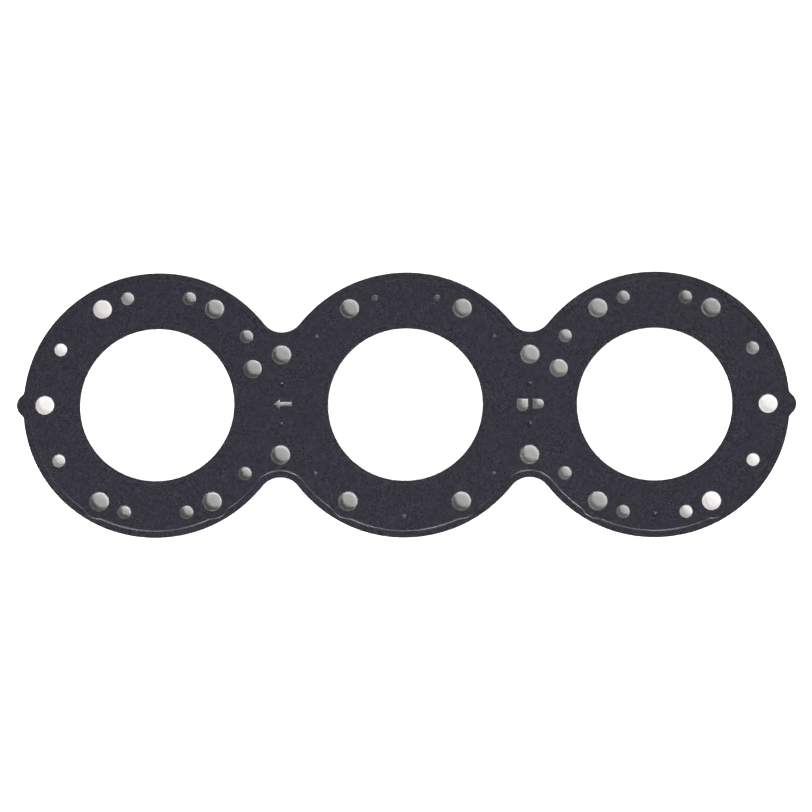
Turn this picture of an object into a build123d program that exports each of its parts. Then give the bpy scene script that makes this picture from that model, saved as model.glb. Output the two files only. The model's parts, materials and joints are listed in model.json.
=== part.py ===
"""Cylinder head gasket for a three-cylinder marine engine: an embossed top sheet locked onto a flat carrier.

Lengths are in millimetres.  The gasket lies flat: X runs along the row of cylinders, +Y is the side with the
two dowel holes, and Z = 0 is the face that lies on the cylinder block, under the middle bore's axis.
"""

from build123d import *
from math import cos, hypot, radians, sin, sqrt
import os

os.makedirs("parts", exist_ok=True)

# ---- Cylinder row ----------------------------------------------------------------------------------
bore_pitch = 132.0
bridge_land = 50.0
ring_overlap = 5.5
notch_radius = 12.0
bridge_x = bore_pitch / 2
bore_radius = bridge_x - bridge_land / 2
ring_radius = bridge_x + ring_overlap
notch_y = sqrt((ring_radius + notch_radius) ** 2 - bridge_x**2) - notch_radius

# ---- Sheets ----------------------------------------------------------------------------------------
carrier_thickness = 0.70
sheet_thickness = 0.30

# ---- Ears, one at each end of the row ----------------------------------------------------------------
ear_reach = 3.5
ear_nose_radius = 6.5
ear_flank_angle = 45.0
ear_root_radius = 3.0

# ---- Head studs: a hexagon round each bore, and two pairs in the bridges between the bores ------------
stud_edge_distance = 11.5
bridge_stud_edge_distance = 12.15
stud_hole_radius = 5.0
carrier_hole_inset = 0.10
stud_circle_radius = ring_radius - stud_edge_distance
bridge_stud_y = notch_y - bridge_stud_edge_distance

# ---- Dowel holes, both on the same side of the row ----------------------------------------------------
dowel_hole_radius = 4.7
dowel_outboard = 15.3
dowel_y = 19.4

# ---- Coolant holes round the two outer bores, on the circle of the studs --------------------------------
coolant_hole_radius = 3.4
coolant_outer_angle = 30.0
coolant_inner_angle = 142.0
coolant_side_angle = 16.0

# ---- Small holes round the middle bore: two bleed the water jacket, five pricks are in the top sheet only
bleed_hole_radius = 1.35
bleed_jet_radius = 0.40
prick_radius = 0.65

# ---- Half bead along the outer edge: the field inside it stands proud of the rim ------------------------
bead_inset = 3.7
bead_width = 1.1
bead_rise = 0.30
bead_stud_radius = 9.3
bead_root_radius = 4.0

# ---- Full bead round each bore: a shallow trough that makes the lip round the bore springy ---------------
groove_outset = 2.5
groove_depth = 0.12
groove_width = 2.2
groove_floor_width = 0.8
groove_radius = bore_radius + groove_outset

# ---- Lock dimples: the top sheet is drawn down through the carrier and its foot is spread there ---------
dimple_mouth_radius = 1.7
dimple_floor_radius = 1.05
dimple_floor_thickness = 0.25
dimple_wall = 0.25
dimple_neck_z = 0.35
dimple_foot_spread = 0.30
dimple_clearance = 0.05
bridge_dimple_y = 10.8
edge_dimple_edge_distance = 12.2

# ---- Punched index windows in the bridges ---------------------------------------------------------------
arrow_inboard = 1.0
arrow_centre_y = 0.4
arrow_length = 9.2
arrow_head_length = 2.8
arrow_head_width = 4.8
arrow_shaft_width = 2.0
window_width = 5.6
window_top_y = 2.8
shield_inboard = 3.8
shield_height = 6.4
shield_corner_radius = 2.6
flag_outboard = 4.5
flag_height = 5.0
flag_corner_radius = 2.4

# ---- Levels of the stack, from the block face up --------------------------------------------------------
field_z = carrier_thickness + bead_rise
gasket_height = field_z + sheet_thickness


def on_circle(centre_x, angle):
    """Point at an angle on the stud circle of the bore at centre_x."""
    return (centre_x + stud_circle_radius * cos(radians(angle)), stud_circle_radius * sin(radians(angle)))


def four_ways(x, y):
    """The points (x, y), (x, -y), (-x, y) and (-x, -y)."""
    return [(i * x, j * y) for i in (1, -1) for j in (1, -1)]


# ---- Places of the holes --------------------------------------------------------------------------------
bores = [(-bore_pitch, 0), (0, 0), (bore_pitch, 0)]
middle_studs = [on_circle(0, angle) for angle in (60, 120, 240, 300)]
right_studs = [on_circle(bore_pitch, angle) for angle in (0, 60, 120, 240, 300)]
left_studs = [(-x, y) for x, y in right_studs]
ring_studs = left_studs + middle_studs + right_studs
bridge_studs = four_ways(bridge_x, bridge_stud_y)
dowel_holes = [(side * (bridge_x + dowel_outboard), dowel_y) for side in (-1, 1)]

side_angles = [90 - coolant_side_angle, 90 + coolant_side_angle]
coolant_angles = [coolant_outer_angle, coolant_inner_angle] + side_angles
right_coolant = [on_circle(bore_pitch, side * angle) for angle in coolant_angles for side in (-1, 1)]
left_coolant = [(-x, y) for x, y in right_coolant]
bleed_holes = [on_circle(0, angle) for angle in side_angles]
pricks = four_ways(*on_circle(0, coolant_inner_angle)) + [on_circle(0, -90)]

edge_dimple = (bore_pitch, edge_dimple_edge_distance - ring_radius)
lock_dimples = four_ways(bridge_x, bridge_dimple_y) + [edge_dimple]


def ear(side):
    """Rounded lug at one end of the row, its 45 degree flanks run back under the ring."""
    nose_centre = ring_radius + ear_reach - ear_nose_radius
    apex = nose_centre + ear_nose_radius / sin(radians(ear_flank_angle))
    apex_x = side * (bore_pitch + apex)
    foot_x = side * (bore_pitch + stud_circle_radius)
    foot_y = apex - stud_circle_radius
    with BuildSketch(Plane.XY) as lug:
        with BuildLine():
            Polyline((apex_x, 0), (foot_x, foot_y), (foot_x, -foot_y), close=True)
        make_face()
        fillet(lug.vertices().group_by(Axis.X)[0 if side < 0 else -1], ear_nose_radius)
    return lug.sketch


def is_notch(vertex):
    """True for a corner where two rings meet."""
    return abs(abs(vertex.X) - bridge_x) < ring_overlap / 2


def is_ear_root(vertex):
    """True for a corner where an ear's flank leaves its ring."""
    from_bore = hypot(abs(vertex.X) - bore_pitch, vertex.Y)
    return vertex.Y != 0 and abs(vertex.X) > bore_pitch and abs(from_bore - ring_radius) < 0.01


def is_near_stud(vertex):
    """True for a corner where the bead's swing round a stud begins or ends."""
    return min(hypot(vertex.X - x, vertex.Y - y) for x, y in ring_studs) < bead_stud_radius + bead_width


def outer_outline():
    """Three rings run together, with rounded notches between them and an ear at each end."""
    ears = [ear(-1), ear(1)]
    with BuildSketch(Plane.XY) as outline:
        with Locations(*bores):
            Circle(ring_radius)
        fillet(outline.vertices().filter_by(is_notch), notch_radius)
        add(ears)
        fillet(outline.vertices().filter_by(is_ear_root), ear_root_radius)
    return outline.sketch


def bead_outline(shift):
    """Line parallel to the rings that swings out round the studs, moved inwards by shift all along."""
    inset = bead_inset + shift
    with BuildSketch(Plane.XY) as line:
        with Locations(*bores):
            Circle(ring_radius - inset)
        fillet(line.vertices().filter_by(is_notch), notch_radius + inset)
        with Locations(*ring_studs):
            Circle(bead_stud_radius - shift)
        fillet(line.vertices().filter_by(is_near_stud), bead_root_radius + shift)
    return line.sketch


def index_windows():
    """An arrow in one bridge, and a shield and a flag in the other."""
    tip_x = arrow_inboard - bridge_x - arrow_length / 2
    barb_x = tip_x + arrow_head_length
    tail_x = tip_x + arrow_length
    low = arrow_centre_y - arrow_shaft_width / 2
    high = arrow_centre_y + arrow_shaft_width / 2
    with BuildSketch(Plane.XY) as windows:
        with BuildLine():
            Polyline(
                (tip_x, arrow_centre_y),
                (barb_x, arrow_centre_y + arrow_head_width / 2),
                (barb_x, high),
                (tail_x, high),
                (tail_x, low),
                (barb_x, low),
                (barb_x, arrow_centre_y - arrow_head_width / 2),
                close=True,
            )
        make_face()
        with Locations((bridge_x - shield_inboard, window_top_y - shield_height / 2)):
            Rectangle(window_width, shield_height)
        fillet(windows.vertices(Select.LAST).group_by(Axis.Y)[0], shield_corner_radius)
        with Locations((bridge_x + flag_outboard, window_top_y - flag_height / 2)):
            Rectangle(window_width, flag_height)
        fillet(windows.vertices(Select.LAST).group_by(Axis.X)[-1], flag_corner_radius)
    return windows.sketch


def punched_holes(inset, bleed_radius):
    """The holes that both sheets have, as one sheet has them: stud and coolant holes are smaller by inset."""
    windows = index_windows()
    with BuildSketch(Plane.XY) as holes:
        with Locations(*bores):
            Circle(bore_radius)
        with Locations(*ring_studs, *bridge_studs):
            Circle(stud_hole_radius - inset)
        with Locations(*dowel_holes):
            Circle(dowel_hole_radius)
        with Locations(*left_coolant, *right_coolant):
            Circle(coolant_hole_radius - inset)
        with Locations(*bleed_holes):
            Circle(bleed_radius)
        add(windows)
    return holes.sketch


def prick_holes():
    """The small pricks, which stop at the carrier."""
    with BuildSketch(Plane.XY) as holes:
        with Locations(*pricks):
            Circle(prick_radius)
    return holes.sketch


def at_height(sketch, z):
    """The same sketch on the plane at height z."""
    return Plane.XY.offset(z) * sketch


def turned(points, centre_x, centre_y):
    """Solid of revolution about the upright axis at (centre_x, centre_y), from its section as (radius, z)."""
    with BuildPart() as solid:
        with BuildSketch(Plane.XZ):
            with BuildLine():
                Polyline(*points, close=True)
            make_face()
        revolve(axis=Axis.Z)
    return Pos(centre_x, centre_y, 0) * solid.part


def groove(centre_x, chord_z):
    """Trough round a bore, sunk below the chord at chord_z: sloped sides and a flat floor."""
    floor_z = chord_z - groove_depth
    section = [
        (groove_radius - groove_width / 2, chord_z),
        (groove_radius - groove_floor_width / 2, floor_z),
        (groove_radius + groove_floor_width / 2, floor_z),
        (groove_radius + groove_width / 2, chord_z),
    ]
    return turned(section, centre_x, 0)


def dimple_neck_radius():
    """Outer radius of a lock dimple where it is narrowest, on the straight side of its drawn wall."""
    share = (dimple_neck_z - dimple_floor_thickness) / (gasket_height - dimple_floor_thickness)
    return dimple_floor_radius + dimple_wall + share * (dimple_mouth_radius - dimple_floor_radius)


def lock_plug(place, clearance):
    """Outside of a lock dimple below the field: a drawn cone down to the neck, then the spread foot."""
    x, y = place
    neck = dimple_neck_radius() + clearance
    section = [
        (0, 0),
        (neck + dimple_foot_spread, 0),
        (neck, dimple_neck_z),
        (dimple_mouth_radius + dimple_wall + clearance, field_z),
        (0, field_z),
    ]
    return turned(section, x, y)


def lock_cup(place):
    """Inside of a lock dimple, open at the top."""
    x, y = place
    section = [
        (0, dimple_floor_thickness),
        (dimple_floor_radius, dimple_floor_thickness),
        (dimple_mouth_radius, gasket_height),
        (0, gasket_height),
    ]
    return turned(section, x, y)


outline = outer_outline()
bead_foot = bead_outline(-bead_width / 2)
bead_crest = bead_outline(bead_width / 2)

# ---- Carrier: plain steel sheet that sets the gasket's thickness ------------------------------------------
carrier_holes = punched_holes(carrier_hole_inset, bleed_jet_radius)
lock_holes = [lock_plug(place, dimple_clearance) for place in lock_dimples]

with BuildPart() as carrier_sheet:
    extrude(outline, amount=carrier_thickness)
    extrude(carrier_holes, amount=carrier_thickness, mode=Mode.SUBTRACT)
    add(lock_holes, mode=Mode.SUBTRACT)
carrier_sheet.part.label = "carrier_sheet"
export_step(carrier_sheet.part, "parts/carrier_sheet.step")

# ---- Embossed sheet: spring steel with a rubber coat, formed in one stroke and then locked on ------------
embossed_holes = punched_holes(0.0, bleed_hole_radius)
prick_cuts = prick_holes()
rim_top_z = carrier_thickness + sheet_thickness
field_under = [at_height(bead_foot, carrier_thickness), at_height(bead_crest, field_z)]
field_upper = [at_height(bead_foot, rim_top_z), at_height(bead_crest, gasket_height)]
troughs_under = [groove(x, field_z) for x, _ in bores]
troughs_upper = [groove(x, gasket_height) for x, _ in bores]
lock_plugs = [lock_plug(place, 0.0) for place in lock_dimples]
lock_cups = [lock_cup(place) for place in lock_dimples]

with BuildPart() as embossed_sheet:
    extrude(at_height(outline, carrier_thickness), amount=sheet_thickness)
    loft(field_upper, ruled=True)
    loft(field_under, ruled=True, mode=Mode.SUBTRACT)
    add(troughs_under)
    add(troughs_upper, mode=Mode.SUBTRACT)
    extrude(at_height(embossed_holes, carrier_thickness), amount=gasket_height, mode=Mode.SUBTRACT)
    extrude(at_height(prick_cuts, carrier_thickness), amount=gasket_height, mode=Mode.SUBTRACT)
    add(lock_plugs)
    add(lock_cups, mode=Mode.SUBTRACT)
embossed_sheet.part.label = "embossed_sheet"
export_step(embossed_sheet.part, "parts/embossed_sheet.step")
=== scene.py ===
"""Cylinder head gasket for a three-cylinder marine engine, dressed on its solid model.

Lengths are in metres: X runs along the row of bores, +Y is the side with the dowel holes, and Z = 0 is the face
that lies on the cylinder block.
"""

import json
from math import radians

import bpy
import numpy as np
from mathutils import Euler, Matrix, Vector
from mathutils.geometry import delaunay_2d_cdt


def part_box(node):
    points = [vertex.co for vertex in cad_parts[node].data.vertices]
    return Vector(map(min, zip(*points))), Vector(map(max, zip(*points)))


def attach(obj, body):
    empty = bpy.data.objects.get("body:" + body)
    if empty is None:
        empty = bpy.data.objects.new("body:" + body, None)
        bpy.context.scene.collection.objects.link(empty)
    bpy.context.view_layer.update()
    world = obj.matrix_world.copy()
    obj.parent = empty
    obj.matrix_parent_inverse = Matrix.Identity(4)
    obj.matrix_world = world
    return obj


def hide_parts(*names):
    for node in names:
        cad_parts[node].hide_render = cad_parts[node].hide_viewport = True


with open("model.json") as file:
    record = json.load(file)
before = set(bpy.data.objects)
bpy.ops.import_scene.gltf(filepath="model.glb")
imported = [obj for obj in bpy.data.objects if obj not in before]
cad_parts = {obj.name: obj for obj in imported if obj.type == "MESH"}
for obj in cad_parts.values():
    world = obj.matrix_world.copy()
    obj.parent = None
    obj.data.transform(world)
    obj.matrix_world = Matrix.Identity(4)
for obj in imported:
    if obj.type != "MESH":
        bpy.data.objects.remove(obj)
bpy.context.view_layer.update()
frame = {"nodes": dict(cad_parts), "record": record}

# ---- Carrier sheet ----------------------------------------------------------------------------------
# A flat sheet of plain cold rolled steel, punched in one stroke.  It sets the gasket's thickness, lies on
# the cylinder block, and shows only at the outer edge, in the holes and from below.
MM = 0.001


def node(tree, kind, **settings):
    """One shader node with its properties and input values set."""
    made = tree.nodes.new(kind)
    for name, value in settings.items():
        if name in made.inputs:
            made.inputs[name].default_value = value
        else:
            setattr(made, name, value)
    return made


def new_material(name):
    """A node material that holds a Principled shader alone; gives the material, its tree and the shader."""
    material = bpy.data.materials.new(name)
    material.use_nodes = True
    tree = material.node_tree
    tree.nodes.clear()
    shader = node(tree, "ShaderNodeBsdfPrincipled")
    output = node(tree, "ShaderNodeOutputMaterial")
    tree.links.new(shader.outputs["BSDF"], output.inputs["Surface"])
    return material, tree, shader


def wire(tree, *pairs):
    """Links sockets: each pair is (from socket, to socket)."""
    for source, target in pairs:
        tree.links.new(source, target)


def new_group(name, inputs, outputs):
    """An empty shader node group with a place, float inputs {name: default} and the float outputs that are named;
    gives the group, its entry and its result."""
    group = bpy.data.node_groups.new(name, "ShaderNodeTree")
    group.interface.new_socket("Place", in_out="INPUT", socket_type="NodeSocketVector")
    for label, value in inputs.items():
        group.interface.new_socket(label, in_out="INPUT", socket_type="NodeSocketFloat").default_value = value
    for label in outputs:
        group.interface.new_socket(label, in_out="OUTPUT", socket_type="NodeSocketFloat")
    return group, node(group, "NodeGroupInput"), node(group, "NodeGroupOutput")


def use_group(tree, group, place, **values):
    """The group as a node of a material, fed with a place, its other inputs set."""
    made = tree.nodes.new("ShaderNodeGroup")
    made.node_tree = group
    tree.links.new(place, made.inputs["Place"])
    for label, value in values.items():
        made.inputs[label].default_value = value
    return made


def spread(tree, source, low, high, to_low, to_high):
    """A value between low and high, stretched to run from to_low to to_high."""
    made = node(tree, "ShaderNodeMapRange")
    for label, value in (("From Min", low), ("From Max", high), ("To Min", to_low), ("To Max", to_high)):
        made.inputs[label].default_value = value
    tree.links.new(source, made.inputs["Value"])
    return made.outputs["Result"]


# Fine grain of a finish: specks of one size, each with its own shade and a low dome.  A little of a cloud that is
# three times as broad is mixed into the shade.
broad_share, broad_blend = 0.33, 0.12
speck_edge = 0.7
grain, entry, result = new_group("grain", {"Size": 0.6 * MM}, ["Speck", "Height"])
per_metre = node(grain, "ShaderNodeMath", operation="DIVIDE")
per_metre.inputs[0].default_value = 1.0
broad_scale = node(grain, "ShaderNodeMath", operation="MULTIPLY")
broad_scale.inputs[1].default_value = broad_share
cells = node(grain, "ShaderNodeTexVoronoi")
shades = node(grain, "ShaderNodeSeparateColor")
broad = node(grain, "ShaderNodeTexNoise", Detail=1.0, Roughness=0.5)
blend = node(grain, "ShaderNodeMix")
blend.inputs["Factor"].default_value = broad_blend
wire(
    grain,
    (entry.outputs["Size"], per_metre.inputs[1]),
    (per_metre.outputs[0], cells.inputs["Scale"]),
    (per_metre.outputs[0], broad_scale.inputs[0]),
    (broad_scale.outputs[0], broad.inputs["Scale"]),
    (entry.outputs["Place"], cells.inputs["Vector"]),
    (entry.outputs["Place"], broad.inputs["Vector"]),
    (cells.outputs["Color"], shades.inputs["Color"]),
    (shades.outputs["Red"], blend.inputs["A"]),
    (broad.outputs["Fac"], blend.inputs["B"]),
    (blend.outputs["Result"], result.inputs["Speck"]),
    (spread(grain, cells.outputs["Distance"], 0.0, speck_edge, 1.0, 0.0), result.inputs["Height"]),
)

# Handling: cloudy patches the size of a fingertip, where the steel and the coat are a little duller.  The noise is
# clear below the first value and full cloud above the second.
clear, clouded_over = 0.35, 0.65
handling, entry, result = new_group("handling", {}, ["Cloud"])
patches = node(handling, "ShaderNodeTexNoise", Scale=45.0, Detail=3.0, Roughness=0.6)
wire(
    handling,
    (entry.outputs["Place"], patches.inputs["Vector"]),
    (spread(handling, patches.outputs["Fac"], clear, clouded_over, 0.0, 1.0), result.inputs["Cloud"]),
)

# Plain steel: rolling lines along X on the dull faces, and brighter sheared walls where the punch went through.
# The walls are told from the faces by how little their normals point up or down.
rolled_dark = (0.140, 0.136, 0.150, 1)
rolled_light = (0.205, 0.200, 0.218, 1)
sheared_light = (0.70, 0.70, 0.71, 1)
rolling_line = 0.25 * MM
line_stretch = 0.04
rolled_rough = (0.36, 0.46)
steel_dulling = 0.10
steel, tree, shader = new_material("plain_steel")
shader.inputs["Metallic"].default_value = 0.5
coordinates = node(tree, "ShaderNodeTexCoord")
place = coordinates.outputs["Object"]
rolling = node(tree, "ShaderNodeMapping")
rolling.inputs["Scale"].default_value = (line_stretch, 1.0, 1.0)
tree.links.new(place, rolling.inputs["Vector"])
rolled = use_group(tree, grain, rolling.outputs["Vector"], Size=rolling_line)
marks = use_group(tree, handling, place)
shade = node(tree, "ShaderNodeMix", data_type="RGBA")
shade.inputs["A"].default_value = rolled_dark
shade.inputs["B"].default_value = rolled_light
facing = node(tree, "ShaderNodeSeparateXYZ")
level = node(tree, "ShaderNodeMath", operation="ABSOLUTE")
sheared = node(tree, "ShaderNodeMix", data_type="RGBA")
sheared.inputs["A"].default_value = sheared_light
dull = node(tree, "ShaderNodeMath", operation="MULTIPLY_ADD")
dull.inputs[1].default_value = steel_dulling
relief = node(tree, "ShaderNodeBump", Strength=0.25, Distance=0.01 * MM)
wire(
    tree,
    (rolled.outputs["Speck"], shade.inputs["Factor"]),
    (coordinates.outputs["Normal"], facing.inputs["Vector"]),
    (facing.outputs["Z"], level.inputs[0]),
    (level.outputs[0], sheared.inputs["Factor"]),
    (shade.outputs["Result"], sheared.inputs["B"]),
    (sheared.outputs["Result"], shader.inputs["Base Color"]),
    (marks.outputs["Cloud"], dull.inputs[0]),
    (spread(tree, rolled.outputs["Speck"], 0, 1, *rolled_rough), dull.inputs[2]),
    (dull.outputs[0], shader.inputs["Roughness"]),
    (rolled.outputs["Height"], relief.inputs["Height"]),
    (relief.outputs["Normal"], shader.inputs["Normal"]),
)
carrier = frame["nodes"]["carrier_sheet"]
carrier.data.materials.clear()
carrier.data.materials.append(steel)

# ---- Embossed sheet ---------------------------------------------------------------------------------
# Spring steel with a black rubber coat on both faces.  One stroke of the press punches it, raises the field
# inside the half bead, sinks a shallow trough round each bore and draws the five lock dimples.
mounts = {mount["name"]: mount for mount in frame["record"]["mounts"]}
pitch = mounts["bore_right"]["pos_m"][0]
bridge_x = pitch / 2
bore_radius = mounts["bore_right"]["dims"]["r_mm"] * MM
stud_circle = mounts["studs_right"]["dims"]["spacing_x_mm"] * MM
bridge_stud_y = mounts["studs_bridges"]["dims"]["spacing_y_mm"] * MM / 2
dowel_x, dowel_y, _ = mounts["dowel_right"]["pos_m"]
dowel_radius = mounts["dowel_right"]["dims"]["r_mm"] * MM
sheet_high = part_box("embossed_sheet")[1]
carrier_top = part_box("carrier_sheet")[1].z
ring_radius = sheet_high.y
ear_tip = sheet_high.x
gasket_top = sheet_high.z
sheet_thickness = 0.30 * MM
rim_top = carrier_top + sheet_thickness

# Outline: the notches between the rings, and the ear's round nose, 45 degree flanks and roots.
notch_radius = 12.0 * MM
nose_radius = 6.5 * MM
root_radius = 3.0 * MM
ear_flank = 45

# Angle between the studs of a ring.
stud_step = 60

# Half bead: its middle line's distance from the edge, its width, and the arcs on which it swings round a stud, with
# how many points each arc has.
bead_inset = 3.7 * MM
bead_width = 0.9 * MM
bead_swing = 9.3 * MM
bead_root = 7.0 * MM
root_points, swing_points = 8, 16


def polar(angle, radius=1.0, centre=(0.0, 0.0)):
    """Points at an angle in degrees, or at each of several, on a circle: centre plus radius times (cos, sin)."""
    turn = np.radians(angle)
    return np.stack([centre[0] + radius * np.cos(turn), centre[1] + radius * np.sin(turn)], axis=-1)


def arc(centre, radius, start, end, count):
    """Count points along an arc from angle start to angle end in degrees, without the last one."""
    return polar(np.linspace(start, end, count, endpoint=False), radius, centre)


def heading(start, end):
    """Angle in degrees of the way from one point to another."""
    way = np.subtract(end, start)
    return float(np.degrees(np.arctan2(way[1], way[0])))


def all_round(quarter):
    """The closed line whose first quarter, both ends included, runs from +X to +Y: it is mirrored three times."""
    back = quarter[:0:-1]
    return np.concatenate([quarter[:-1], back * (-1, 1), -quarter[:-1], back * (1, -1)])


def notch_arcs(ring, notch):
    """Where rings of radius ring meet the round notch between them: the ring's last angle and the notch's arc.  The
    notch's centre is as far from a ring's centre as both radii together."""
    centre = (bridge_x, np.sqrt((ring + notch) ** 2 - bridge_x**2))
    last = heading((pitch, 0), centre)
    return last, arc(centre, notch, last - 180, -last, count=28)


def outline_quarter(inset):
    """A quarter of the outer outline, moved inwards by inset: ear nose, straight flank, root, ring, notch, ring.  The
    root's centre lies where its circle touches both the flank and the ring."""
    ring, notch = ring_radius - inset, notch_radius + inset
    nose, root = nose_radius - inset, root_radius + inset
    nose_centre = (ear_tip - nose_radius, 0.0)
    flank_start = polar(ear_flank, nose, nose_centre)
    across = np.dot(np.subtract(flank_start, (pitch, 0)), polar(ear_flank))
    first = ear_flank - np.degrees(np.arccos((root + across) / (ring + root)))
    root_centre = polar(first, ring + root, (pitch, 0))
    last, notch_arc = notch_arcs(ring, notch)
    return np.concatenate(
        [
            arc(nose_centre, nose, 0, ear_flank, count=12),
            arc(root_centre, root, ear_flank + 180, first + 180, count=10),
            arc((pitch, 0), ring, first, last, count=72),
            notch_arc,
            arc((0, 0), ring, 180 - last, 90, count=28),
            [(0, ring)],
        ]
    )


def swing(centre, ring, swing_radius, root, angle):
    """The bead's way out round a stud and back: root arc, arc round the stud, root arc, and the half angle it takes,
    which the law of cosines gives from the three centres."""
    stud = polar(angle, stud_circle, centre)
    reach = ring + root
    half = np.degrees(
        np.arccos((reach**2 + stud_circle**2 - (swing_radius + root) ** 2) / (2 * reach * stud_circle))
    )
    before, after = polar(angle - half, reach, centre), polar(angle + half, reach, centre)
    lean = heading(stud, after) - angle
    arcs = [
        arc(before, root, angle - half + 180, angle - lean + 180, root_points),
        arc(stud, swing_radius, angle - lean, angle + lean, swing_points),
        arc(after, root, angle + lean + 180, angle + half + 180, root_points),
    ]
    return arcs, half


def bead_quarter(shift):
    """A quarter of the half bead's line, moved inwards by shift: it follows the rings and swings round the studs."""
    ring, notch = ring_radius - bead_inset - shift, notch_radius + bead_inset + shift
    swing_radius, root = bead_swing - shift, bead_root + shift
    end_swing, half = swing((pitch, 0), ring, swing_radius, root, 0)
    side_swing, _ = swing((pitch, 0), ring, swing_radius, root, stud_step)
    far_swing, _ = swing((pitch, 0), ring, swing_radius, root, 2 * stud_step)
    middle_swing, _ = swing((0, 0), ring, swing_radius, root, stud_step)
    last, notch_arc = notch_arcs(ring, notch)
    return np.concatenate(
        [
            end_swing[1][swing_points // 2 :],
            end_swing[2],
            arc((pitch, 0), ring, half, stud_step - half, count=40),
            *side_swing,
            arc((pitch, 0), ring, stud_step + half, 2 * stud_step - half, count=40),
            *far_swing,
            arc((pitch, 0), ring, 2 * stud_step + half, last, count=8),
            notch_arc,
            arc((0, 0), ring, 180 - last, stud_step - half, count=8),
            *middle_swing,
            arc((0, 0), ring, stud_step + half, 90, count=20),
            [(0, ring)],
        ]
    )


def circle(centre, radius, count):
    """A closed line of count points round a centre."""
    return arc(centre, radius, 0, 360, count)


def grown(line, by):
    """A closed counter-clockwise line moved outwards by a distance, each corner along its mitre."""
    way = np.roll(line, -1, axis=0) - line
    way /= np.linalg.norm(way, axis=1, keepdims=True)
    out = np.stack([way[:, 1], -way[:, 0]], axis=-1)
    before = np.roll(out, 1, axis=0)
    mitre = (out + before) / (1 + (out * before).sum(axis=1, keepdims=True))
    return line + by * mitre


# Rolled lip: how far the punch drags the face down at a cut edge, by the distance from the edge, and how strong a
# pale ring is at the very edge of a hole, a bore and the outline. The ring is partly thinned coat and partly a
# painted highlight on the lip.
roll_steps = np.array([0.0, 0.03, 0.08, 0.15, 0.23, 0.32]) * MM
roll_depth, roll_power = 0.07 * MM, 2.5
roll_drop = roll_depth * (1 - roll_steps / roll_steps[-1]) ** roll_power
hole_wear_and_sheen, bore_wear_and_sheen, outline_wear_and_sheen = 0.85, 0.35, 0.15

lines = []
cut_outs = []


def lay(line, top, under, under_line=None, rim=0.0):
    """Adds a closed line to the sheet: its points, the height of the top and of the under face there, and how much
    it belongs to a rolled rim, which sets its share of the pale ring of worn coat and painted highlight."""
    under_line = line if under_line is None else under_line
    upper = np.column_stack([line, np.full(len(line), top)])
    lower = np.column_stack([under_line, np.full(len(line), under)])
    lines.append((upper, lower, np.full(len(line), rim)))


def cut(line, lip_wear_and_sheen=hole_wear_and_sheen):
    """Adds a hole punched in the raised field: its edge and the rolled-down lip round it. The pale ring at the edge,
    partly worn coat and partly painted highlight, fades with the square of the way that is left across the lip."""
    cut_outs.append(line)
    under = gasket_top - sheet_thickness
    for step, drop in zip(roll_steps, roll_drop):
        lay(grown(line, step), gasket_top - drop, under, rim=lip_wear_and_sheen * (1 - step / roll_steps[-1]) ** 2)


def smooth_step(share):
    """Rises from 0 to 1 with level ends: half of one minus the cosine of a half turn."""
    return (1 - np.cos(np.pi * share)) / 2


def flank(share, bend=0.2):
    """Height share across a pressed flank: bends over the first and last part of the width, straight between.  The
    slope grows evenly from 0 to its full value 1 / (1 - bend) over each bend."""
    slope = 1 / (1 - bend)
    foot = slope * min(share, bend) ** 2 / (2 * bend)
    crest = slope * max(share - 1 + bend, 0) ** 2 / (2 * bend)
    return foot + slope * max(share - bend, 0) - crest


# Outer edge, with its rolled lip, then the half bead from its foot to its crest.  A guard line on each side of a
# pressed form keeps the face beside it flat, and the lines across the bead lie closest where it bends.
for step, drop in zip(roll_steps, roll_drop):
    lay(all_round(outline_quarter(step)), rim_top - drop, carrier_top, rim=outline_wear_and_sheen * (1 - step / roll_steps[-1]))
guard = 0.12 * MM
lay(all_round(bead_quarter(-bead_width / 2 - guard)), rim_top, carrier_top)
bead_shares = (0, 0.05, 0.1, 0.15, 0.2, 0.5, 0.8, 0.85, 0.9, 0.95, 1)
for share in bead_shares:
    height = rim_top + (gasket_top - rim_top) * flank(share)
    lay(all_round(bead_quarter((share - 0.5) * bead_width)), height, height - sheet_thickness)
lay(all_round(bead_quarter(bead_width / 2 + guard)), gasket_top, gasket_top - sheet_thickness)

# Bores, each with the trough of its full bead.
trough_radius = 43.5 * MM
trough_width = 2.4 * MM
trough_depth = 0.11 * MM
trough_lines = 13
bore_points = 200
for x in (-pitch, 0.0, pitch):
    cut(circle((x, 0), bore_radius, bore_points), lip_wear_and_sheen=bore_wear_and_sheen)
    inner, outer = trough_radius - trough_width / 2 - guard, trough_radius + trough_width / 2 + guard
    lay(circle((x, 0), inner, bore_points), gasket_top, gasket_top - sheet_thickness)
    for share in np.linspace(0, 1, trough_lines):
        height = gasket_top - trough_depth * smooth_step(1 - abs(2 * share - 1))
        radius = trough_radius + (share - 0.5) * trough_width
        lay(circle((x, 0), radius, bore_points), height, height - sheet_thickness)
    lay(circle((x, 0), outer, bore_points), gasket_top, gasket_top - sheet_thickness)


def both_ways(points):
    """The points and their mirror images in X."""
    return np.concatenate([points, points * (-1, 1)])


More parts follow.
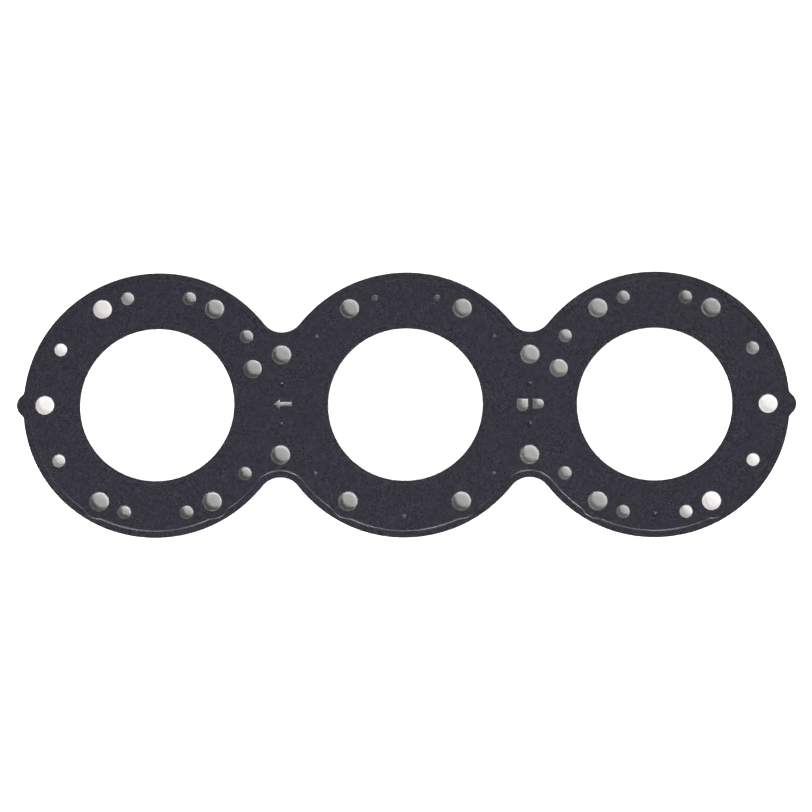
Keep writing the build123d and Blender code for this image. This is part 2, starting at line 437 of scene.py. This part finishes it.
# Stud, dowel and coolant holes, and the bleed holes and pricks round the middle bore.  All but the bridges' studs
# and the dowels lie on the stud circle, by their angles from +X.
stud_hole = 5.0 * MM
coolant_hole = 3.4 * MM
bleed_hole = 1.35 * MM
prick = 0.65 * MM
side_angles = np.array([74, 106])
coolant_angles = np.array([30, 142, *side_angles])
prick_angles = np.array([38, 142, 218, 322, 270])
ring_studs = polar(np.array([0, 1, 2, 4, 5]) * stud_step, stud_circle, (pitch, 0))
middle_studs = polar(np.array([1, 2, 4, 5]) * stud_step, stud_circle)
bridge_studs = np.array([(bridge_x, bridge_stud_y), (bridge_x, -bridge_stud_y)])
coolant = polar(np.concatenate([coolant_angles, -coolant_angles]), stud_circle, (pitch, 0))
studs = np.concatenate([both_ways(ring_studs), middle_studs, both_ways(bridge_studs)])
for places, radius, count in (
    (studs, stud_hole, 72),
    (both_ways(np.array([(dowel_x, dowel_y)])), dowel_radius, 72),
    (both_ways(coolant), coolant_hole, 60),
    (polar(side_angles, stud_circle), bleed_hole, 40),
    (polar(prick_angles, stud_circle), prick, 28),
):
    for place in places:
        cut(circle(place, radius, count))

# Index windows: an arrow in the left bridge, a shield and a flag in the right one.
arrow_length, arrow_head = 9.2 * MM, 2.8 * MM
arrow_barb, arrow_shaft = 2.4 * MM, 1.0 * MM
arrow_shift, arrow_y = 1.0 * MM, 0.4 * MM
window_width = 5.6 * MM
window_top = 2.8 * MM
shield_x, shield_height = bridge_x - 3.8 * MM, 6.4 * MM
flag_x, flag_height = bridge_x + 4.5 * MM, 5.0 * MM
sharp, shield_corner, flag_corner = 0.15 * MM, 2.6 * MM, 2.4 * MM


def arrow(tip_x, middle_y):
    """An arrow that points to -X: head, then shaft, counter-clockwise."""
    barb_x, tail_x = tip_x + arrow_head, tip_x + arrow_length
    barb, shaft = arrow_barb, arrow_shaft
    corners = [(tip_x, 0), (barb_x, -barb), (barb_x, -shaft), (tail_x, -shaft), (tail_x, shaft), (barb_x, shaft)]
    return np.array(corners + [(barb_x, barb)]) + (0, middle_y)


def window(middle_x, height, radii):
    """An upright window: counter-clockwise from its lower left corner, each corner rounded by its radius, with a
    point every 10 degrees."""
    left, bottom = middle_x - window_width / 2, window_top - height
    right = left + window_width
    centres = [(left, bottom, 1, 1), (right, bottom, -1, 1), (right, window_top, -1, -1), (left, window_top, 1, -1)]
    arcs = [
        arc((x + i * r, y + j * r), r, start, start + 100, count=10)
        for (x, y, i, j), r, start in zip(centres, radii, (180, 270, 0, 90))
    ]
    return np.concatenate(arcs)


cut(arrow(arrow_shift - bridge_x - arrow_length / 2, arrow_y))
cut(window(shield_x, shield_height, (shield_corner, shield_corner, sharp, sharp)))
cut(window(flag_x, flag_height, (sharp, flag_corner, flag_corner, sharp)))

# Lock dimples: small bowls drawn down through the carrier, where the foot is spread.  From the mouth inwards, the
# first rows give the bowl's radii and share of its depth, and the last two the under face.
bowl_scale, bowl_depth = 0.72, 0.7 * MM
bowl_radii = bowl_scale * np.array([2.35, 2.2, 2.05, 1.9, 1.72, 1.5, 1.25, 0.95, 0.6, 0.25]) * MM
bowl_share = np.array([0, 0, 0.015, 0.07, 0.25, 0.55, 0.80, 0.94, 0.985, 1.0])
foot_radii = np.array([2.35, 2.2, 2.05, 1.95, 1.72, 1.42, 1.67, 1.2, 0.8, 0.3]) * MM
foot_heights = np.array([1.0, 1.0, 1.0, 1.0, 0.7, 0.35, 0.0, 0.0, 0.0, 0.0]) * MM
dimple_y, dimple_inset = 10.8 * MM, 12.2 * MM
dimples = [(i * bridge_x, j * dimple_y) for i in (1, -1) for j in (1, -1)] + [(pitch, dimple_inset - ring_radius)]
for place in dimples:
    for radius, share, foot, height in zip(bowl_radii, bowl_share, foot_radii, foot_heights):
        bowl, spread_foot = circle(place, radius, count=40), circle(place, foot, count=40)
        lay(bowl, gasket_top - bowl_depth * share, height, spread_foot)

# Points nearer than this, in millimetres, are one, and the shading breaks only at edges sharper than the crease.
same_point = 1e-5
crease = radians(50)


def spans_of(sizes):
    """Edges that close each of several lines on itself, as pairs of point numbers."""
    ends = np.cumsum(sizes)
    starts = np.repeat(ends - sizes, sizes)
    here = np.arange(ends[-1])
    following = np.where(here + 1 == np.repeat(ends, sizes), starts, here + 1)
    return np.column_stack([here, following])


def inside(points, line):
    """True for each point inside a closed line, by how many of its edges a ray to +X crosses."""
    x, y = points[:, :1], points[:, 1:]
    (x0, y0), (x1, y1) = line.T, np.roll(line, -1, axis=0).T
    straddles = (y0 > y) != (y1 > y)
    rise = np.where(y1 == y0, 1.0, y1 - y0)
    crossing = x0 + (y - y0) * (x1 - x0) / rise
    return (straddles & (x < crossing)).sum(axis=1) % 2 == 1


def sheet_mesh(name):
    """The pressed sheet: the lines' points joined in plan by triangles, all but those inside a hole, once over the
    top and once, turned over, on the under face, with a wall wherever a triangle's side has no neighbour."""
    top, under, rims = (np.concatenate([line[part] for line in lines]) for part in range(3))
    edges = spans_of([len(line[0]) for line in lines])
    plan = top[:, :2] / MM
    found = delaunay_2d_cdt(plan.tolist(), edges.tolist(), [], 1, same_point)
    faces = np.array(found[2])
    points = np.array([tuple(p) for p in found[0]])
    middles = points[faces].mean(axis=1) * MM
    keep = np.ones(len(faces), bool)
    for line in cut_outs:
        near = (np.abs(middles - line.mean(axis=0)) < np.ptp(line, axis=0).max()).all(axis=1)
        keep[near] &= ~inside(middles[near], line)
    faces = faces[keep]
    a, b, c = (points[faces[:, k]] for k in range(3))
    area = (b[:, 0] - a[:, 0]) * (c[:, 1] - a[:, 1]) - (b[:, 1] - a[:, 1]) * (c[:, 0] - a[:, 0])
    faces[area < 0] = faces[area < 0][:, ::-1]
    sides = np.concatenate([faces[:, [0, 1]], faces[:, [1, 2]], faces[:, [2, 0]]])
    keys = np.sort(sides, axis=1) @ (len(top), 1)
    _, first, counts = np.unique(keys, return_index=True, return_counts=True)
    rim = sides[first[counts == 1]]
    count = len(top)
    walls = np.column_stack([rim[:, 1], rim[:, 0], rim[:, 0] + count, rim[:, 1] + count])
    mesh = bpy.data.meshes.new(name)
    shell = [*faces.tolist(), *(faces[:, ::-1] + count).tolist(), *walls.tolist()]
    mesh.from_pydata(np.concatenate([top, under]), [], shell)
    rim_mark = mesh.attributes.new("rim", "FLOAT", "POINT")
    rim_mark.data.foreach_set("value", np.concatenate([rims, np.zeros(count)]).astype(np.float32))
    is_wall = np.arange(len(mesh.polygons)) >= 2 * len(faces)
    mesh.polygons.foreach_set("material_index", is_wall.astype(np.int32))
    mesh.shade_smooth()
    mesh.set_sharp_from_angle(angle=crease)
    return mesh


# Rubber coat: satin black with a violet cast and fine specks, most of them dark, since a speck's shade is raised to
#  a power. It is a little darker in the patches, and a pale grey line lies at each cut lip: partly coat thinned where
#  the punch drew it down, partly a painted highlight.
coat_dark = (0.0209, 0.0193, 0.0272, 1)
coat_light = (0.0589, 0.0542, 0.0756, 1)
coat_clouding = (0.94, 0.94, 0.95, 1)
coat_thinned_and_sheen = (0.64, 0.64, 0.65, 1)
skin_speck, speck_power = 0.58 * MM, 2.4
wear_and_sheen_from, wear_and_sheen_to = (0.2, 0.9), (0.25, 0.9)
coat_rough = (0.25, 0.32)
coat_dulling = 0.04
rubber, tree, shader = new_material("rubber_coat")
shader.inputs["IOR"].default_value = 1.6
place = node(tree, "ShaderNodeTexCoord").outputs["Object"]
skin = use_group(tree, grain, place, Size=skin_speck)
marks = use_group(tree, handling, place)
rim = node(tree, "ShaderNodeAttribute", attribute_name="rim")
tone = node(tree, "ShaderNodeMix", data_type="RGBA")
tone.inputs["A"].default_value = coat_dark
tone.inputs["B"].default_value = coat_light
pale = node(tree, "ShaderNodeMath", operation="POWER")
pale.inputs[1].default_value = speck_power
clouded = node(tree, "ShaderNodeMix", data_type="RGBA", blend_type="MULTIPLY")
clouded.inputs["B"].default_value = coat_clouding
# Pale grey at the cut lips: thinned coat, and a painted highlight of the lit lip.
thinned_and_sheen = node(tree, "ShaderNodeMix", data_type="RGBA")
thinned_and_sheen.inputs["B"].default_value = coat_thinned_and_sheen
worn_and_sheen = node(tree, "ShaderNodeMath", operation="MULTIPLY")
polish = node(tree, "ShaderNodeMath", operation="MULTIPLY_ADD")
polish.inputs[1].default_value = coat_dulling
relief = node(tree, "ShaderNodeBump", Strength=0.3, Distance=0.02 * MM)
wire(
    tree,
    (skin.outputs["Speck"], pale.inputs[0]),
    (pale.outputs[0], tone.inputs["Factor"]),
    (tone.outputs["Result"], clouded.inputs["A"]),
    (marks.outputs["Cloud"], clouded.inputs["Factor"]),
    (clouded.outputs["Result"], thinned_and_sheen.inputs["A"]),
    (rim.outputs["Fac"], worn_and_sheen.inputs[0]),
    (spread(tree, skin.outputs["Speck"], *wear_and_sheen_from, *wear_and_sheen_to), worn_and_sheen.inputs[1]),
    (worn_and_sheen.outputs[0], thinned_and_sheen.inputs["Factor"]),
    (thinned_and_sheen.outputs["Result"], shader.inputs["Base Color"]),
    (marks.outputs["Cloud"], polish.inputs[0]),
    (spread(tree, skin.outputs["Speck"], 0, 1, *coat_rough), polish.inputs[2]),
    (polish.outputs[0], shader.inputs["Roughness"]),
    (skin.outputs["Height"], relief.inputs["Height"]),
    (relief.outputs["Normal"], shader.inputs["Normal"]),
)

# Cut edge: bright sheared steel with fine upright score lines from the punch.
score_dark = (0.50, 0.50, 0.51, 1)
score_light = (0.82, 0.82, 0.83, 1)
score_width, score_stretch = 0.12 * MM, 0.05
score_rough = (0.32, 0.5)
cut_steel, tree, shader = new_material("cut_edge")
shader.inputs["Metallic"].default_value = 0.5
place = node(tree, "ShaderNodeTexCoord").outputs["Object"]
upright = node(tree, "ShaderNodeMapping")
upright.inputs["Scale"].default_value = (1.0, 1.0, score_stretch)
tree.links.new(place, upright.inputs["Vector"])
scores = use_group(tree, grain, upright.outputs["Vector"], Size=score_width)
bright = node(tree, "ShaderNodeMix", data_type="RGBA")
bright.inputs["A"].default_value = score_dark
bright.inputs["B"].default_value = score_light
wire(
    tree,
    (scores.outputs["Speck"], bright.inputs["Factor"]),
    (bright.outputs["Result"], shader.inputs["Base Color"]),
    (spread(tree, scores.outputs["Speck"], 0, 1, *score_rough), shader.inputs["Roughness"]),
)

sheet = bpy.data.objects.new("top_sheet", sheet_mesh("top_sheet"))
bpy.context.scene.collection.objects.link(sheet)
sheet.data.materials.append(rubber)
sheet.data.materials.append(cut_steel)
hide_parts("embossed_sheet")
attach(sheet, "root")

# ---- Table, light and camera --------------------------------------------------------------------------
# The gasket lies flat on a wide sheet of white paper.  Soft boxes stand round it and one hangs above, a ring of low
# strip lamps whitens the paper, and four narrow spots lift it where it shows through the holes.
paper_half = 6.0
paper_fibre = 2.2 * MM
paper_dark = (0.83, 0.815, 0.795, 1)
paper_light = (0.89, 0.875, 0.855, 1)
paper_rough = (0.8, 0.95)
paper_corners = [(i * paper_half, j * paper_half, 0) for i, j in ((-1, -1), (1, -1), (1, 1), (-1, 1))]
paper_mesh = bpy.data.meshes.new("table_top")
paper_mesh.from_pydata(paper_corners, [], [(0, 1, 2, 3)])
table_top = bpy.data.objects.new("table_top", paper_mesh)
bpy.context.scene.collection.objects.link(table_top)
paper, tree, shader = new_material("white_paper")
shader.inputs["Specular IOR Level"].default_value = 0.1
place = node(tree, "ShaderNodeTexCoord").outputs["Object"]
fibres = use_group(tree, grain, place, Size=paper_fibre)
shade = node(tree, "ShaderNodeMix", data_type="RGBA")
shade.inputs["A"].default_value = paper_dark
shade.inputs["B"].default_value = paper_light
relief = node(tree, "ShaderNodeBump", Strength=0.5, Distance=0.1 * MM)
wire(
    tree,
    (fibres.outputs["Speck"], shade.inputs["Factor"]),
    (shade.outputs["Result"], shader.inputs["Base Color"]),
    (spread(tree, fibres.outputs["Speck"], 0, 1, *paper_rough), shader.inputs["Roughness"]),
    (fibres.outputs["Height"], relief.inputs["Height"]),
    (relief.outputs["Normal"], shader.inputs["Normal"]),
)
paper_mesh.materials.append(paper)

# Some lamps light the table alone, so that it is white to the edge, and some light all but the table.
table_alone = bpy.data.collections.new("table_alone")
table_alone.objects.link(table_top)
all_but_table = bpy.data.collections.new("all_but_table")
all_but_table.objects.link(table_top)
all_but_table.collection_objects[0].light_linking.link_state = "EXCLUDE"


def round_table(angle, distance, height):
    """A place at an angle and a distance from the middle of the table, at a height above it."""
    return (*polar(angle, distance).tolist(), height)


def place_lamp(lamp, power, place, aim, lights):
    """An object that holds the lamp at place and turns it to aim; it lights what a collection says, or all."""
    lamp.energy = power
    holder = bpy.data.objects.new(lamp.name, lamp)
    holder.location = place
    holder.rotation_euler = (Vector(place) - Vector(aim)).to_track_quat("Z", "Y").to_euler()
    holder.visible_camera = False
    holder.light_linking.receiver_collection = lights
    bpy.context.scene.collection.objects.link(holder)
    return holder


def soft_lamp(name, place, size, power, lights=None):
    """A rectangular lamp of a width and height in metres and a power in watts, aimed at the gasket's middle."""
    lamp = bpy.data.lights.new(name, "AREA")
    lamp.shape = "RECTANGLE"
    lamp.size, lamp.size_y = size
    return place_lamp(lamp, power, place, (0, 0, 0), lights)


front_size, side_size, strip_size = (0.28, 0.14), (0.5, 0.14), (0.9, 0.2)
strip_power = 195
soft_lamp("front_softbox_left", round_table(233, 0.66, 0.94), front_size, 2.4, all_but_table)
soft_lamp("front_softbox_right", round_table(287, 0.66, 0.94), front_size, 2.1, all_but_table)
soft_lamp("upper_softbox", (0.25, 0.7, 1.6), (0.8, 0.8), 14.5, all_but_table).visible_glossy = False
soft_lamp("back_softbox", round_table(90, 1.1, 0.8), side_size, 0.45, all_but_table)
soft_lamp("right_softbox", round_table(15, 1.1, 0.8), side_size, 0.40, all_but_table)
soft_lamp("low_softbox", round_table(228, 3.0, 1.2), (0.85, 0.85), 92)
for angle in range(0, 360, 45):
    soft_lamp(f"strip_lamp_{angle}", round_table(angle, 2.4, 0.25), strip_size, strip_power, table_alone)

# Spots lift the table in the holes of both ends and beside the right bridge; one lights the arrow from in front.
# Each has its name, place, aim, power in watts and width in radians.
spot_softness = 0.8
for name, place, aim, power, width in (
    ("spot_left", (-0.181, 0.017, 1.2), (-0.181, 0.017, 0), 36, 0.100),
    ("spot_right", (0.180, -0.025, 1.2), (0.180, -0.025, 0), 40, 0.102),
    ("spot_bridge", (0.085, 0, 1.2), (0.085, 0, 0), 4, 0.150),
    ("spot_arrow", (-0.33, -0.68, 1.2), (-0.069, 0, 0), 21, 0.020),
):
    lamp = bpy.data.lights.new(name, "SPOT")
    lamp.spot_size = width
    lamp.spot_blend = spot_softness
    place_lamp(lamp, power, place, aim, table_alone)

# A faint even light from all round.
room_light = 0.07
world = bpy.data.worlds.new("studio")
world.use_nodes = True
world.node_tree.nodes["Background"].inputs["Color"].default_value = (1, 1, 1, 1)
world.node_tree.nodes["Background"].inputs["Strength"].default_value = room_light
bpy.context.scene.world = world
bpy.context.scene.view_settings.view_transform = "Standard"

# The camera looks down from in front, 10 degrees off straight: its turn about Z, tilt about X and lean about its
# own Y, in degrees, and its focal length and frame width in the same unit.
camera_turn, camera_tilt, camera_lean = -0.147, 10.318, 2.921
focal_length, frame_width = 6000, 812
lens = bpy.data.cameras.new("camera")
lens.sensor_width = 36.0
lens.lens = lens.sensor_width * focal_length / frame_width
lens.clip_end = 20
camera = bpy.data.objects.new("camera", lens)
camera.location = (0.16101, -0.57020, 3.1263)
turned = Euler((0, 0, radians(camera_turn))).to_matrix()
tilted = turned @ Euler((radians(camera_tilt), 0, 0)).to_matrix()
camera.rotation_euler = (tilted @ Euler((0, radians(camera_lean), 0)).to_matrix()).to_euler()
bpy.context.scene.collection.objects.link(camera)
bpy.context.scene.camera = camera
